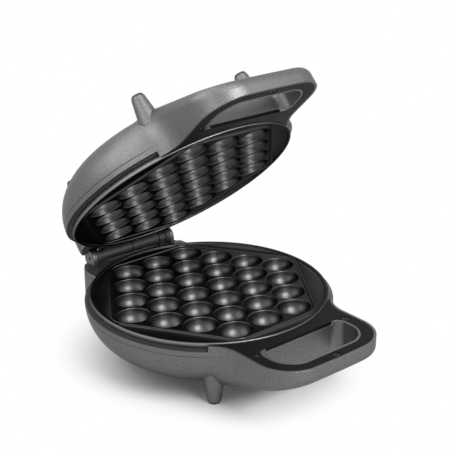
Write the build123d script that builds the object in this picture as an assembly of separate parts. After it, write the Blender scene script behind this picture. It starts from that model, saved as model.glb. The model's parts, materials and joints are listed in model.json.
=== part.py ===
from build123d import *
from math import cos, radians, sin, sqrt, tan
import os

# Bubble waffle maker: two like halves joined at the back by one hinge.
# Each half is drawn as the lower one, with the parting plane at z = 0, the plate centred
# on the z axis, the handle towards -Y and the hinge towards +Y. The lid is its mirror image,
# turned open about the hinge line. Millimetres.

# Clearances
seat_gap = 0.05
running_gap = 0.05
screw_clearance = 0.2
cover_gap = 0.25
plate_gap = 0.7
side_gap = 0.4
swing_gap = 0.8

# How far a cut runs past a face, and how far an added form reaches into what carries it
past = 1.0
bite = 1.0

# Cooking cells
cell_pitch = 30.0
row_pitch_ratio = 0.7567
count_in_longest_row = 6
web_between_cells = 2.8
egg_slimness = 1.4
cell_wall = 2.0

# Cooking plate
plate_margin = 7.4
plate_edge = 4.6
parting_gap = 0.25
rim_width = 2.6
web_drop = 1.1
margin_drop = 1.5
ridge_margin = 2.4
ridge_width = 2.2
ridge_corner = 12.0
boss_radius = 5.0

# Housing bowl
bowl_margin = 4.0
bowl_lip = 5.5
bowl_round = 39.5
wall = 2.4
top_drop = 1.2
rim_drop = 6.0
step_before_rim = 23.0
ledge_width = 3.0
ledge_thickness = 2.4

# Handle
handle_half_width = 54.0
handle_reach = 50.5
handle_corner = 30.0
handle_bow = 2.5
underside_before_rim = 50.0
underside_radius = 60.0
underside_slope = 19.0
handle_edge_round = 9.0
handle_floor_extra = 0.1
neck_share = 0.5435

# Finger opening
handle_side_bar = 13.5
handle_front_bar = 12.5
opening_past_rim = 5.6
opening_front_round = 19.0
opening_back_round = 8.0
opening_wall = 1.8

# Handle cover and its screws
cover_thickness = 2.6
cover_ledge = 0.4
cover_screw_from_side = 8.0
cover_screw_past_rim = 8.4
cover_screw_from_front = 6.2
cover_screw_head = 2.8
cover_screw_head_height = 1.3
cover_screw_sunk = 0.2
cover_screw_shank = 1.4
cover_screw_length = 5.4
cover_post_radius = 2.9

# Hinge
hinge_past_rim = 9.0
open_angle = 44.0
open_limit = 95.0
limit_gap = 1.0
hinge_block_half_width = 52.0
hinge_block_past_hinge = 10.0
hinge_block_round = 22.0
hinge_block_depth = 38.0
hinge_block_edge_round = 7.0
shelf_before_rim = 11.6
pin_radius = 2.5
pin_bore = 1.5
ear_radius = 7.0
ear_inner = 38.8
ear_outer = 42.6
ear_spread = 7.4
barrel_radius = 4.8
barrel_half_length = 28.0
barrel_split = 0.8
knuckle_radius = 5.5
knuckle_outer = 35.0
flange_radius = 7.0
shelf_drop = 5.6

# Inner ring
ring_seat = 5.2
ring_thickness = 3.2

# Heater
element_radius = 3.3
element_from_edge = 40.0
element_depth_from_edge = 44.0
element_corner = 24.0
element_leg_x = 14.0
element_leg_from_edge = 20.0
element_leg_bend = 10.0
cold_pin_radius = 1.5
cold_pin_length = 5.0
tab_reach = 6.6
reflector_rise = 7.0
reflector_sheet = 0.8
reflector_notch = 20.6
tab_radius = 8.0

# Feet and the screws inside them
foot_from_rim = 16.4
foot_slant = 53.27
stand_height = 56.5
foot_top_radius = 10.5
foot_tip_radius = 5.5
foot_bore = 4.2
pad_height = 2.0
pad_plug = 5.0
pad_chamfer = 1.0
leg_screw_radius = 2.0
leg_screw_head = 3.6
leg_screw_head_height = 2.6
leg_screw_above_pad = 2.9
leg_screw_tip = 9.0

# Electrical pieces
thermostat_radius = 8.0
thermostat_step = 1.5
thermostat_cap = 2.6
terminal_reach = 13.5
terminal_width = 4.8
terminal_sheet = 0.8
fuse_radius = 2.6
fuse_length = 15.0
fuse_wire_radius = 0.6
fuse_wire = 6.0
block_length = 40.0
block_width = 12.0
block_height = 9.0
block_before_hinge = 11.0
block_hole_depth = 5.0
lead_radius = 1.3
lead_bend = 4.0
gland_drop = 24.0
gland_bore = 3.2
gland_neck = 5.0
gland_snap = 0.6
gland_inside = 3.0
gland_flange = 6.6
gland_flange_thickness = 2.0
gland_chamfer = 0.8
lens_radius = 3.0
lens_x = 9.0
lens_before_rim = 54.0
lens_proud = 1.0
lens_round = 0.8
lens_flange = 4.2
lens_flange_thickness = 1.0
holder_margin = 6.0
holder_height = 8.0
holder_cap = 2.0
lamp_bore = 2.6

# Worked out from the sizes above
row_pitch = row_pitch_ratio * cell_pitch
cell_half_length = (cell_pitch - web_between_cells) / 2
cell_radius = cell_half_length - egg_slimness
field_half_length = (count_in_longest_row - 1) / 2 * cell_pitch
plate_radius = field_half_length + cell_half_length + plate_margin
bowl_radius = plate_radius + bowl_margin
bowl_depth = bowl_lip + bowl_round
web_z = -parting_gap - web_drop
plate_bottom = -parting_gap - plate_edge
bar_radius = cell_radius + cell_wall
bar_tip = web_z - bar_radius
element_z = bar_tip - element_radius - seat_gap
reflector_top = element_z - element_radius - seat_gap
reflector_bottom = reflector_top - reflector_sheet
ring_inner = plate_radius - ring_seat
ring_outer = bowl_radius - wall - cover_gap
ring_bottom = plate_bottom - ring_thickness
floor_z = -bowl_depth + wall
cover_top = -top_drop
cover_bottom = cover_top - cover_thickness
foot_bottom = -stand_height + pad_height
leg_screw_seat = -foot_bottom - pad_plug - leg_screw_above_pad - leg_screw_head_height
foot_top = -bowl_depth / 2
wedge_angle = (open_limit + limit_gap) / 2
last_row = count_in_longest_row // 2
far = 2 * bowl_radius
step_y = bowl_radius - step_before_rim
neck_round = neck_share * (bowl_radius - handle_half_width)
underside_start = bowl_radius - underside_before_rim
handle_front = bowl_radius + handle_reach
opening_half_width = handle_half_width - handle_side_bar
opening_front = handle_front - handle_front_bar
opening_back = bowl_radius + opening_past_rim
lip_half_width = opening_half_width + opening_wall
cover_screw_x = handle_half_width - cover_screw_from_side
cover_screw_y = bowl_radius + cover_screw_past_rim
cover_screw_front = handle_front - cover_screw_from_front
hinge_y = bowl_radius + hinge_past_rim
hinge_block_back = hinge_y + hinge_block_past_hinge
shelf_front = bowl_radius - shelf_before_rim
element_half_width = plate_radius - element_from_edge
element_half_depth = plate_radius - element_depth_from_edge
element_leg_end = plate_radius - element_leg_from_edge
foot_circle = bowl_radius - foot_from_rim
foot_x = foot_circle * cos(radians(foot_slant))
foot_y = foot_circle * sin(radians(foot_slant))
reflector_radius = foot_circle - tab_reach
block_y = hinge_y - block_before_hinge
lens_y = bowl_radius - lens_before_rim
flange_outer = ear_inner - side_gap
hinge_line = Axis((0, hinge_y, 0), (-1, 0, 0))


def disc(radius, low, high, x=0.0, y=0.0):
    return Pos(x, y, (low + high) / 2) * Cylinder(radius, high - low)


def rod_x(radius, left, right, y, z):
    return Pos((left + right) / 2, y, z) * Rot(0, 90, 0) * Cylinder(radius, right - left)


def rod_y(radius, front, back, x, z):
    return Pos(x, (front + back) / 2, z) * Rot(90, 0, 0) * Cylinder(radius, back - front)


def box(x0, x1, y0, y1, z0, z1):
    return Pos((x0 + x1) / 2, (y0 + y1) / 2, (z0 + z1) / 2) * Box(x1 - x0, y1 - y0, z1 - z0)


def through(plan, low, high):
    return Pos(0, 0, low) * extrude(plan, amount=high - low)


def both_sides(piece):
    return piece + mirror(piece, about=Plane.YZ)


def foot_places():
    return [(x, y) for x in (-foot_x, foot_x) for y in (-foot_y, foot_y)]


def cover_screw_places():
    return [(-cover_screw_x, -cover_screw_y), (cover_screw_x, -cover_screw_y), (0, -cover_screw_front)]


def cell_places():
    places = []
    for row in range(-last_row, last_row + 1):
        count = count_in_longest_row - abs(row)
        for i in range(count):
            places.append(((i - (count - 1) / 2) * cell_pitch, row * row_pitch))
    return places


def bowl(inset):
    """The round body: an upright lip, then one large round down to a flat floor."""
    form = disc(bowl_radius - inset, inset - bowl_depth, 0)
    return fillet(form.edges().group_by(Axis.Z)[0], bowl_round - inset)


def handle_plan(inset):
    side = handle_half_width - inset
    edge = -handle_front + inset + handle_bow
    with BuildSketch() as sketch:
        with BuildLine():
            Polyline((side, edge), (side, -bowl_lip), (-side, -bowl_lip), (-side, edge))
            ThreePointArc((-side, edge), (0, edge - handle_bow), (side, edge))
        make_face()
        fillet([v for v in sketch.vertices() if v.Y < edge + past], handle_corner - inset)
    return sketch.sketch


def handle_side(low):
    """The handle seen from its side: level under the bowl, then rising in an arc and a straight."""
    rise = radians(underside_slope)
    bend_y = -underside_start - underside_radius * sin(rise)
    bend_z = low + underside_radius * (1 - cos(rise))
    tip_y = -handle_front - bowl_lip
    tip_z = bend_z + (bend_y - tip_y) * tan(rise)
    with BuildSketch(Plane.YZ) as sketch:
        with BuildLine():
            Line((0, low), (-underside_start, low))
            TangentArc((-underside_start, low), (bend_y, bend_z), tangent=(-1, 0))
            Polyline((bend_y, bend_z), (tip_y, tip_z), (tip_y, 0), (0, 0), (0, low))
        make_face()
    return extrude(sketch.sketch, amount=handle_half_width + bowl_lip, both=True)


def is_low_edge(edge, inset):
    """True for the edges round the handle's underside, without its centre crease."""
    middle, start, end = edge.center(), edge.position_at(0), edge.position_at(1)
    upright = abs(start.X - end.X) + abs(start.Y - end.Y) < seat_gap
    crease = abs(middle.X) < past and middle.Y > -handle_front + inset + handle_bow
    return middle.Z < -top_drop and middle.Y < -bowl_lip - past and not upright and not crease


def handle(inset, floor_extra):
    form = extrude(handle_plan(inset), amount=-bowl_depth) & handle_side(-bowl_depth + inset + floor_extra)
    low_edges = [e for e in form.edges() if is_low_edge(e, inset)]
    return fillet(low_edges, handle_edge_round - inset / 2)


def hinge_block(inset):
    side, back = hinge_block_half_width - inset, hinge_block_back - inset
    low = -hinge_block_depth + inset
    plan = Pos(0, back / 2, 0) * Rectangle(2 * side, back)
    plan = fillet([v for v in plan.vertices() if v.Y > back / 2], hinge_block_round - inset)
    form = extrude(plan, amount=low)
    low_edges = [e for e in form.edges() if e.center().Z < low + seat_gap and e.center().Y > past]
    return fillet(low_edges, hinge_block_edge_round - inset)


def is_neck_edge(edge):
    """True for the two edges on each side that meet under the lip, where handle and bowl meet."""
    meet = -sqrt(bowl_radius ** 2 - handle_half_width ** 2)
    near = [abs(end.Y - meet) + abs(end.Z + bowl_lip) < bite for end in (edge.position_at(0), edge.position_at(1))]
    return any(near) and abs(abs(edge.center().X) - handle_half_width) < bite


def body_form():
    """The outside of a housing as a solid, with the neck rounded where handle meets bowl."""
    form = bowl(0) + handle(0, 0)
    neck = [e for e in form.edges() if is_neck_edge(e)]
    return fillet(neck, neck_round) + hinge_block(0)


def opening_plan(grow):
    side, front, back = opening_half_width + grow, -opening_front - grow, -opening_back + grow
    middle = (front + back) / 2
    plan = Pos(0, middle) * Rectangle(2 * side, back - front)
    plan = fillet([v for v in plan.vertices() if v.Y < middle], opening_front_round + grow)
    return fillet([v for v in plan.vertices() if v.Y > back - seat_gap], opening_back_round + grow)


def cover_plan(inset):
    """The handle's plan with both necks, as the cover and the housing's recess for it share it."""
    side, neck = handle_half_width - inset, neck_round + inset
    neck_x = side + neck
    neck_y = -sqrt((bowl_radius - inset + neck) ** 2 - neck_x ** 2)
    gusset = Polygon((side, neck_y), (neck_x, neck_y), (0, 0), (-neck_x, neck_y), (-side, neck_y), align=None)
    gusset -= Pos(neck_x, neck_y) * Circle(neck)
    gusset -= Pos(-neck_x, neck_y) * Circle(neck)
    plan = handle_plan(inset) + gusset + Circle(bowl_radius - inset)
    return plan - Pos(0, far / 2 - step_y) * Rectangle(2 * far, far) - Circle(plate_radius + plate_gap)


def hinge_wedge(gap):
    """The space behind the hinge line that the other half swings through."""
    reach = hinge_block_back - hinge_y + wall
    low = -reach * tan(radians(wedge_angle)) - gap
    with BuildSketch(Plane.YZ) as sketch:
        with BuildLine():
            Polyline((hinge_y, -gap), (hinge_y + reach, low), (hinge_y + reach, wall), (hinge_y, wall),
                     (hinge_y, -gap))
        make_face()
    return extrude(sketch.sketch, amount=hinge_block_half_width + wall, both=True)


def ear(outer):
    """One upright cheek of the hinge on the +X side, grown from the floor and the back wall."""
    knee, low = -hinge_block_depth / 2, -hinge_block_depth + wall / 2
    with BuildSketch(Plane.YZ) as sketch:
        with BuildLine():
            Polyline((hinge_y - ear_radius, 0), (hinge_y - ear_spread, knee), (hinge_y - ear_spread, low),
                     (hinge_block_back, low), (hinge_block_back, 0), (hinge_y - ear_radius, 0))
        make_face()
    web = Pos(ear_inner, 0, 0) * extrude(sketch.sketch, amount=ear_outer - ear_inner)
    cheek = web & (outer - hinge_wedge(seat_gap))
    cheek += rod_x(ear_radius, ear_inner, ear_outer, hinge_y, 0)
    return cheek - rod_x(pin_radius + running_gap, ear_inner - past, ear_outer + past, hinge_y, 0)


def ring_ledge():
    """The shelf round the bowl that carries the inner ring, left out at the handle and hinge."""
    ledge = disc(bowl_radius - wall / 2, ring_bottom - ledge_thickness, ring_bottom)
    ledge -= disc(bowl_radius - wall - ledge_width, -bowl_depth, 0)
    ledge -= box(-far, far, -far, -step_y, -bowl_depth, 0)
    return ledge - box(-hinge_block_half_width, hinge_block_half_width, shelf_front, far, -bowl_depth, 0)


def posts(outer):
    """The foot posts and cover posts that rise from the floor, and the walls of the finger opening."""
    forms = through(opening_plan(opening_wall), -bowl_depth, cover_top)
    for x, y in foot_places():
        forms += disc(boss_radius, -bowl_depth, reflector_bottom, x, y)
    for x, y in cover_screw_places():
        forms += disc(cover_post_radius, -bowl_depth, cover_bottom, x, y)
    return forms & outer


def housing(ears, holes):
    outer = body_form()
    shell = outer - bowl(wall) - handle(wall, handle_floor_extra) - hinge_block(wall)
    shell -= through(cover_plan(wall - cover_ledge), cover_bottom, 0)
    shell += ring_ledge()
    shell += posts(outer)
    shell -= through(opening_plan(0), -bowl_depth - past, past)
    shell -= box(-lip_half_width, lip_half_width, -opening_back - seat_gap, -opening_back + 2 * opening_wall,
                 cover_bottom, past)
    shell -= box(-far, far, -step_y, far, -rim_drop, past)
    shell -= box(-far, far, -far, far, cover_top, past)
    shell -= hinge_wedge(seat_gap)
    shell -= both_sides(rod_x(flange_radius + side_gap, knuckle_outer - side_gap,
                              hinge_block_half_width + past, hinge_y, 0))
    if ears:
        shell += both_sides(ear(outer))
    for x, y in foot_places():
        shell -= disc(leg_screw_radius + screw_clearance, -bowl_depth - past, 0, x, y)
    for x, y in cover_screw_places():
        shell -= disc(cover_screw_shank + seat_gap, cover_bottom - cover_screw_length, 0, x, y)
    for hole in holes:
        shell -= hole
    return shell


def egg(half_length, radius):
    """The lower half of an egg lying along X, its flat face up at z = 0."""
    with BuildPart() as part:
        with BuildSketch(Plane.XY):
            with BuildLine():
                EllipticalCenterArc((0, 0), half_length, radius, start_angle=0, arc_size=180)
                Line((-half_length, 0), (half_length, 0))
            make_face()
        revolve(axis=Axis.X, revolution_arc=-180)
    return part.part


def row_bar(row):
    """The half-round bar on the back of the plate that walls in one row of cells."""
    reach = (count_in_longest_row - abs(row) - 1) / 2 * cell_pitch + cell_half_length + cell_wall
    bar = rod_x(bar_radius, -reach, reach, row * row_pitch, web_z)
    bar -= box(-far, far, -far, far, plate_bottom + bite, far)
    return bar & disc(ring_inner - cover_gap, 2 * bar_tip, 0)


def ridge_plan(grow):
    """The hexagon round the cell field, out from the ridge's centre line by grow."""
    end_x = (count_in_longest_row - last_row - 1) / 2 * cell_pitch
    end_y = last_row * row_pitch
    field = Polygon((field_half_length, 0), (end_x, end_y), (-end_x, end_y), (-field_half_length, 0),
                    (-end_x, -end_y), (end_x, -end_y), align=None)
    plan = offset(field, cell_half_length + ridge_margin + grow, kind=Kind.INTERSECTION)
    return fillet(plan.vertices(), ridge_corner + grow)


def cooking_plate():
    """The casting: rim, hexagon ridge and cell field on top, row bars and screw bosses behind."""
    ridge_outer = ridge_plan(ridge_width / 2)
    ridge_inner = ridge_plan(-ridge_width / 2)
    plate = disc(plate_radius, plate_bottom, -parting_gap)
    plate -= through(Circle(plate_radius - rim_width) - ridge_outer, -parting_gap - margin_drop, 0)
    plate -= through(ridge_inner, web_z, 0)
    cell = egg(cell_half_length, cell_radius) + through(Ellipse(cell_half_length, cell_radius), 0, past)
    plate += [row_bar(row) for row in range(-last_row, last_row + 1)]
    plate += [disc(boss_radius, reflector_top, plate_bottom + bite, x, y) for x, y in foot_places()]
    plate -= [Pos(x, y, web_z) * cell for x, y in cell_places()]
    return plate - [disc(leg_screw_radius + seat_gap, reflector_top - past, bite - leg_screw_tip, x, y)
                    for x, y in foot_places()]


def knuckle():
    """A fixed knuckle with its round flange, on the +X side of the lower half."""
    inner = barrel_half_length + side_gap
    form = rod_x(knuckle_radius, inner, knuckle_outer, hinge_y, 0)
    form += rod_x(flange_radius, knuckle_outer, flange_outer, hinge_y, 0)
    form += box(inner, flange_outer, hinge_y - barrel_radius, hinge_y + pin_radius, ring_bottom, 0)
    return form - rod_x(pin_radius + running_gap, inner - past, flange_outer + past, hinge_y, 0)


def barrel():
    """One turning barrel on the +X side of the lid."""
    inner = barrel_split / 2
    form = rod_x(barrel_radius, inner, barrel_half_length, hinge_y, 0)
    form += box(inner, barrel_half_length, hinge_y - barrel_radius, hinge_y + pin_radius, ring_bottom, 0)
    return form - rod_x(pin_radius + running_gap, inner - past, barrel_half_length + past, hinge_y, 0)


def inner_ring(lower):
    inset = wall + cover_gap
    side, back = hinge_block_half_width - inset, hinge_block_back - inset
    plan = Pos(0, back / 2) * Rectangle(2 * side, back)
    plan = fillet([v for v in plan.vertices() if v.Y > back / 2], hinge_block_round - inset)
    plan -= Pos(0, shelf_front / 2) * Rectangle(2 * far, shelf_front)
    ring = disc(ring_outer, ring_bottom, plate_bottom)
    ring += through(plan, ring_bottom, -shelf_drop)
    ring -= disc(ring_inner, ring_bottom - past, past)
    ring -= hinge_wedge(wall)
    slot_inner = ear_inner - side_gap if lower else barrel_half_length + side_gap / 2
    ring -= both_sides(box(slot_inner, ear_outer + side_gap, hinge_y - flange_radius - swing_gap, far,
                           ring_bottom - past, past))
    return ring + both_sides(knuckle() if lower else barrel())


def handle_cover():
    hole = opening_plan(opening_wall + cover_gap)
    hole -= box(-far, far, -opening_back, 0, -past, past).faces().sort_by(Axis.Z)[-1].moved(Pos(0, 0, -past))
    cover = through(cover_plan(wall - cover_ledge + cover_gap) - hole, cover_bottom, cover_top)
    for x, y in cover_screw_places():
        cover -= disc(cover_screw_shank + screw_clearance, cover_bottom - past, past, x, y)
        cover -= disc(cover_screw_head + cover_gap, cover_screw_seat(), past, x, y)
    return cover


def cover_screw_seat():
    return cover_top - cover_screw_sunk - cover_screw_head_height


def cover_screw():
    screw = disc(cover_screw_shank, cover_bottom - cover_screw_length + bite, cover_screw_seat())
    return screw + disc(cover_screw_head, cover_screw_seat(), cover_top - cover_screw_sunk)


def at_places(piece, places):
    return Compound([Pos(x, y, 0) * piece for x, y in places])


def heating_element():
    """One bent tube under the row bars, open at the hinge side, with a cold pin in each end."""
    side, deep, leg, end, z = (element_half_width, element_half_depth, element_leg_x, element_leg_end,
                               element_z)
    with BuildPart() as part:
        with BuildLine() as path:
            FilletPolyline((-leg, end, z), (-leg, deep, z), (-side, deep, z), (-side, -deep, z),
                           (side, -deep, z), (side, deep, z), (leg, deep, z), (leg, end, z),
                           radius=[element_leg_bend, element_corner, element_corner, element_corner,
                                   element_corner, element_leg_bend])
        with BuildSketch(Plane(path.line @ 0, z_dir=path.line % 0)):
            Rectangle(2 * element_radius, 2 * element_radius)
        sweep()
    return part.part + both_sides(rod_y(cold_pin_radius, end - bite, end + cold_pin_length, leg, z))


def reflector():
    """The pan that carries the element, with a tab for each leg screw and a notch for the legs."""
    plan = Circle(reflector_radius)
    for x, y in foot_places():
        plan += Pos(x, y) * Circle(tab_radius)
    rim_top = reflector_bottom + reflector_rise
    pan = through(plan, reflector_bottom, reflector_top)
    pan += disc(reflector_radius, reflector_bottom, rim_top)
    pan -= disc(reflector_radius - reflector_sheet, reflector_top, rim_top + past)
    pan -= box(-reflector_notch, reflector_notch, reflector_radius / 2, far, reflector_top, 0)
    for x, y in foot_places():
        pan -= disc(tab_radius, reflector_top, 0, x, y)
        pan -= disc(leg_screw_radius + screw_clearance, reflector_bottom - past, 0, x, y)
    return pan


def foot(outer, x, y):
    """A tapered foot whose top follows the housing, bored for its screw and its rubber pad."""
    taper = Pos(x, y, (foot_bottom + foot_top) / 2) * Cone(
        foot_tip_radius, foot_top_radius, foot_top - foot_bottom)
    form = (taper - outer).solids().sort_by(Axis.Z)[0]
    form -= disc(foot_bore, foot_bottom - past, -leg_screw_seat, x, y)
    return form - disc(leg_screw_radius + screw_clearance, foot_bottom - past, 0, x, y)


def feet():
    outer = body_form()
    return Compound([foot(outer, x, y) for x, y in foot_places()])


def foot_pad():
    pad = Pos(0, 0, -stand_height + pad_height / 2) * Cone(foot_tip_radius - pad_chamfer, foot_tip_radius,
                                                           pad_height)
    return pad + disc(foot_bore - seat_gap, foot_bottom, foot_bottom + pad_plug)


def leg_screw():
    screw = disc(leg_screw_radius, -leg_screw_seat, -leg_screw_tip)
    return screw + disc(leg_screw_head, -leg_screw_seat - leg_screw_head_height, -leg_screw_seat)


def thermostat():
    x, cap_low = cell_pitch / 2, reflector_top + thermostat_cap
    body = disc(thermostat_radius, cap_low, bar_tip - seat_gap, x)
    body += disc(thermostat_radius - thermostat_step, reflector_top + seat_gap, cap_low, x)
    return body + box(x - terminal_reach, x + terminal_reach, -terminal_width / 2, terminal_width / 2,
                      cap_low, cap_low + terminal_sheet)


def thermal_fuse():
    x, z = -cell_pitch / 2, bar_tip - fuse_radius - seat_gap
    half = fuse_length / 2
    return rod_x(fuse_radius, x - half, x + half, 0, z) + rod_x(
        fuse_wire_radius, x - half - fuse_wire, x + half + fuse_wire, 0, z)


def terminal_block():
    low = wall - hinge_block_depth
    top = low + block_height
    body = box(-block_length / 2, block_length / 2, block_y - block_width / 2, block_y + block_width / 2, low, top)
    return body - both_sides(disc(lead_radius + seat_gap, top - block_hole_depth, top + past,
                                  element_leg_x, block_y))


def leads():
    """Two wires that run back from the cold pins and turn down into the terminal block."""
    x, start = element_leg_x, element_leg_end + cold_pin_length
    low = wall - hinge_block_depth + block_height - block_hole_depth
    with BuildPart() as part:
        with BuildLine() as path:
            FilletPolyline((x, start, element_z), (x, block_y, element_z), (x, block_y, low), radius=lead_bend)
        with BuildSketch(Plane(path.line @ 0, z_dir=path.line % 0)):
            Circle(lead_radius)
        sweep()
    return both_sides(part.part)


def cord_gland():
    """The bush in the back wall that the supply cord passes through."""
    inner_end = -wall - gland_inside
    with BuildPart() as part:
        with BuildSketch(Plane.XY):
            with BuildLine():
                Polyline((gland_bore, inner_end), (gland_neck + gland_snap, inner_end),
                         (gland_neck + gland_snap, -wall), (gland_neck, -wall), (gland_neck, 0),
                         (gland_flange, 0), (gland_flange - gland_chamfer, gland_flange_thickness),
                         (gland_bore, gland_flange_thickness), (gland_bore, inner_end))
            make_face()
        revolve(axis=Axis.Y)
    return Pos(0, hinge_block_back, -gland_drop) * part.part


def hinge_pin():
    return rod_x(pin_radius, -ear_outer, ear_outer, hinge_y, 0) - rod_x(
        pin_bore, -ear_outer - past, ear_outer + past, hinge_y, 0)


def link_lead():
    return rod_x(pin_bore - seat_gap, -ear_inner, ear_inner, hinge_y, 0)


def lens(side):
    x, y = side * lens_x, -lens_y
    body = disc(lens_radius - seat_gap, -bowl_depth - lens_proud, floor_z, x, y)
    body = fillet(body.faces().sort_by(Axis.Z)[0].edges(), lens_round)
    return body + disc(lens_flange, floor_z, floor_z + lens_flange_thickness, x, y)


def lamp_holder():
    low = floor_z + lens_flange_thickness
    top = low + holder_height
    reach = lens_x + holder_margin
    holder = box(-reach, reach, -lens_y - holder_margin, holder_margin - lens_y, low, top)
    for side in (-1, 1):
        holder -= disc(lamp_bore, low - past, top - holder_cap, side * lens_x, -lens_y)
    return holder


def lower_half():
    gland_hole = rod_y(gland_neck + seat_gap, hinge_block_back - 2 * wall, hinge_block_back + past, 0,
                       -gland_drop)
    return {
        "lower_housing": housing(True, [gland_hole]),
        "lower_inner_ring": inner_ring(True),
        "thermostat": thermostat(),
        "terminal_block": terminal_block(),
        "cord_gland": cord_gland(),
        "hinge_pin": hinge_pin(),
        "link_lead": link_lead(),
        "lower_leads": leads(),
    }


def upper_half():
    lens_holes = [disc(lens_radius, -bowl_depth - past, floor_z + past, side * lens_x, -lens_y)
                  for side in (-1, 1)]
    return {
        "upper_housing": housing(False, lens_holes),
        "upper_inner_ring": inner_ring(False),
        "power_light_lens": lens(-1),
        "ready_light_lens": lens(1),
        "lamp_holder": lamp_holder(),
    }


def shared_half():
    return {
        "cooking_plate": cooking_plate(),
        "handle_cover": handle_cover(),
        "cover_screws": at_places(cover_screw(), cover_screw_places()),
        "heating_element": heating_element(),
        "reflector": reflector(),
        "feet": feet(),
        "leg_screws": at_places(leg_screw(), foot_places()),
        "foot_pads": at_places(foot_pad(), foot_places()),
        "thermal_fuse": thermal_fuse(),
    }


def opened(piece):
    return piece.rotate(Axis.Y, 180).rotate(hinge_line, open_angle)


pieces = lower_half()
pieces.update({name: opened(piece) for name, piece in upper_half().items()})
for name, piece in shared_half().items():
    pieces["lower_" + name] = piece
    pieces["upper_" + name] = opened(piece)

front = min(piece.bounding_box().min.Y for piece in pieces.values())
back = max(piece.bounding_box().max.Y for piece in pieces.values())
middle = (front + back) / 2
to_origin = Pos(0, -middle, stand_height)
print("hinge line at y, z:", round(hinge_y - middle, 4), round(stand_height, 4))
print("cord bore at y, z:", round(hinge_block_back - middle, 4), round(stand_height - gland_drop, 4))
print("front and back:", round(front - middle, 4), round(back - middle, 4))

os.makedirs("parts", exist_ok=True)
for name, piece in pieces.items():
    export_step(to_origin * piece, "parts/" + name + ".step")
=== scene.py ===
import json
import logging
import math
from dataclasses import dataclass
from enum import Enum
from typing import Any, Iterable, Union

import bmesh
import bpy
from mathutils import Matrix, Vector
from mathutils.geometry import delaunay_2d_cdt


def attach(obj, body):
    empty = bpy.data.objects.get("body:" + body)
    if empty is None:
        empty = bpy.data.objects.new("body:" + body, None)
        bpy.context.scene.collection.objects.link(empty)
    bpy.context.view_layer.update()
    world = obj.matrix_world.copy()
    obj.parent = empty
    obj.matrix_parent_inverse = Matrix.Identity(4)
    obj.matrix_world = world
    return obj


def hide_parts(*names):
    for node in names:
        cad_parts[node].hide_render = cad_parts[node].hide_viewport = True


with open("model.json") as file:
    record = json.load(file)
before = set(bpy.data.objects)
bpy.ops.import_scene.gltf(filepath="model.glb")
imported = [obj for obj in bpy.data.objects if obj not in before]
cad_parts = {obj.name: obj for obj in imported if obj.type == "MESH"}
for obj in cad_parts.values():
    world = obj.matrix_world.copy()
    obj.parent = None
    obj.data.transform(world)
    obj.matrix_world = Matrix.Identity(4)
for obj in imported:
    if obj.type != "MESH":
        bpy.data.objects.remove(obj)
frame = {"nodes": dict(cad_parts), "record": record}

LOG = logging.getLogger("bubble_waffle_maker")
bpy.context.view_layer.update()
HINGE = Vector(frame["record"]["behaviour"]["joints"][0]["pos_m"])
LID_OPENED = 44.0  # degrees, as photographed
MM = 0.001
WHITE = (1.0, 1.0, 1.0)
NOISE_RANGE = (0.3, 0.7)  # where most values of a noise lie
ROUND_STEPS = (0, 30, 60, 90)  # degrees
FILL_TOLERANCE = 1e-6

Place = tuple[float, float, float]
Colour = tuple[float, float, float]
Value = Union["Sock", float, Colour]
Profile = list[tuple[float, float]]
Loop = list[bmesh.types.BMVert]


def grey(level: float) -> Colour:
    """Return a neutral colour.

    Args:
        level: The screen level, 0 to 255.

    Returns:
        The linear colour.
    """
    part = level / 255
    linear = part / 12.92 if part <= 0.04045 else ((part + 0.055) / 1.055) ** 2.4
    return (linear, linear, linear)


def rgba(colour: Colour) -> tuple[float, float, float, float]:
    """Return a colour with full alpha."""
    return (*colour, 1.0)


def shade(colour: Colour, factor: float) -> Colour:
    """Return a colour made darker or lighter by a factor."""
    return tuple(min(1.0, part * factor) for part in colour)


def add_object(name: str, data: Any) -> bpy.types.Object:
    """Put an object into the scene.

    Args:
        name: Its name.
        data: Its mesh, light or camera.

    Returns:
        The object.
    """
    made = bpy.data.objects.new(name, data)
    bpy.context.scene.collection.objects.link(made)
    return made


def aim(thing: bpy.types.Object, place: Place, target: Place) -> None:
    """Put a lamp or the camera at a place and point it at a target."""
    thing.location = place
    thing.rotation_euler = (Vector(target) - Vector(place)).to_track_quat("-Z", "Y").to_euler()


def smooth_by_angle(mesh: bpy.types.Mesh, limit: float) -> None:
    """Shade a mesh smooth, but keep edges sharper than the limit in degrees."""
    mesh.shade_smooth()
    mesh.set_sharp_from_angle(angle=math.radians(limit))


def corner_round(edge: float, top: float, size: float, outward: float = 1.0) -> Profile:
    """Return the rounding between an upright side and a level top.

    Args:
        edge: Where the side stands.
        top: The level of the top.
        size: The radius of the rounding.
        outward: 1 where the side faces outwards, -1 where it faces inwards.

    Returns:
        Distances and levels from the side up to the top.
    """
    angles = [math.radians(step) for step in ROUND_STEPS]
    return [(edge - outward * size * (1 - math.cos(a)), top - size * (1 - math.sin(a)))
            for a in angles]


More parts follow.
